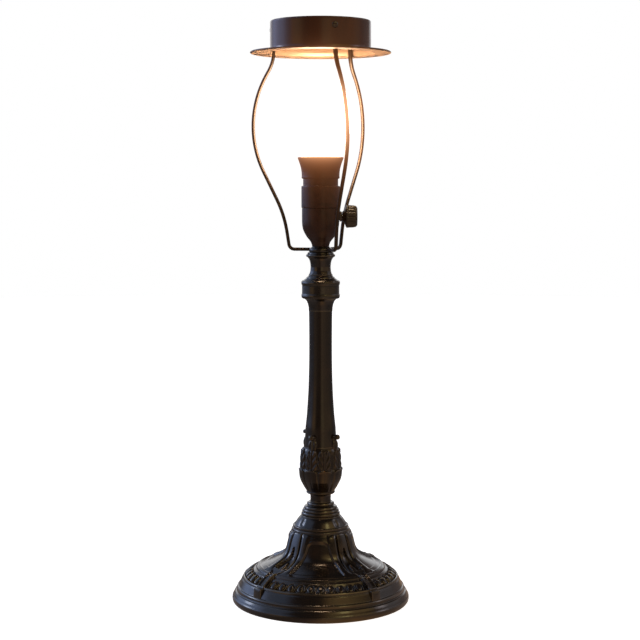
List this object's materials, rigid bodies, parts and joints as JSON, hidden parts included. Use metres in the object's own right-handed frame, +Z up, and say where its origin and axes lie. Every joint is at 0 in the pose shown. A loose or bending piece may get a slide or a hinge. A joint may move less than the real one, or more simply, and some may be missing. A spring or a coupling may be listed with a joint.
{
  "type": "table lamp",
  "caption": "Old bronze table lamp without shade: domed beaded foot, leaf vase, slim column, wire arms with a shade gallery, switched bakelite lampholder and bulb.",
  "frame": {"origin": "centre of the underside of the foot, on the surface the lamp stands on", "axes": "+Z up along the stem, +X to the right, where the switch knob points, -Y to the front of the picture"},
  "size_m": [0.173, 0.173, 0.56],
  "materials": {
    "felt": "dark green felt",
    "card": "matte",
    "bronze": "dark brown bronze patina, semi-gloss",
    "iron": "rough cast",
    "fibre": "matte",
    "steel": "satin",
    "brass": "satin, slightly tarnished",
    "wire": "dark bronzed",
    "gallery": "dark bronzed sheet, satin",
    "bakelite": "brown bakelite, semi-gloss",
    "porcelain": "unglazed white",
    "knob": "black, semi-gloss",
    "black_glass": "opaque black",
    "bulb_glass": "lit, frosted inside",
    "stem_glass": "clear",
    "filament": "tungsten coil, glowing"
  },
  "bodies": {
    "stand": {"felt_pad": "felt", "bottom_card": "card", "foot_shell": "bronze", "foot_weight": "iron", "cord_bush": "fibre", "centre_tube": "steel", "clamp_washer": "steel", "clamp_nut": "brass", "ringed_collar": "bronze", "leaf_vase": "bronze", "column": "bronze", "capital": "bronze", "neck_spool": "bronze", "arm_hub": "bronze", "shade_arm_left": "wire", "shade_arm_front": "wire", "shade_arm_back": "wire", "shade_gallery": "gallery", "gallery_rivets": "wire", "holder_cap": "bakelite", "holder_nut": "brass", "holder_body": "bakelite", "holder_skirt": "bakelite", "switch_block": "porcelain", "socket_block": "porcelain", "insert_screws": "steel", "terminal_screws": "brass", "screw_shell": "brass", "centre_spring": "brass", "switch_springs": "brass", "spindle_bush": "knob"},
    "switch": {"switch_spindle": "steel", "switch_cam": "fibre", "switch_knob": "knob", "knob_grub_screw": "steel"},
    "bulb_tip": {"bulb_contact": "brass"},
    "bulb": {"bulb_insulator": "black_glass", "bulb_cap": "brass", "bulb_glass": "bulb_glass", "bulb_stem": "stem_glass", "bulb_leads": "steel", "bulb_filament": "filament"}
  },
  "joints": [
    {"name": "switch_turn", "type": "hinge", "parent": "stand", "child": "switch", "pos_m": [0, 0, 0.375], "axis": [1, 0, 0], "continuous": true},
    {"name": "bulb_lift", "type": "slide", "parent": "stand", "child": "bulb_tip", "axis": [0, 0, 1], "range_m": [0, 0.0254]},
    {"name": "bulb_turn", "type": "hinge", "parent": "bulb_tip", "child": "bulb", "pos_m": [0, 0, 0.42], "axis": [0, 0, 1], "range_deg": [0, 2520]}
  ],
  "couplings": [
    {"joint": "bulb_lift", "follows": "bulb_turn", "m_per_rad": 0.000576}
  ]
}
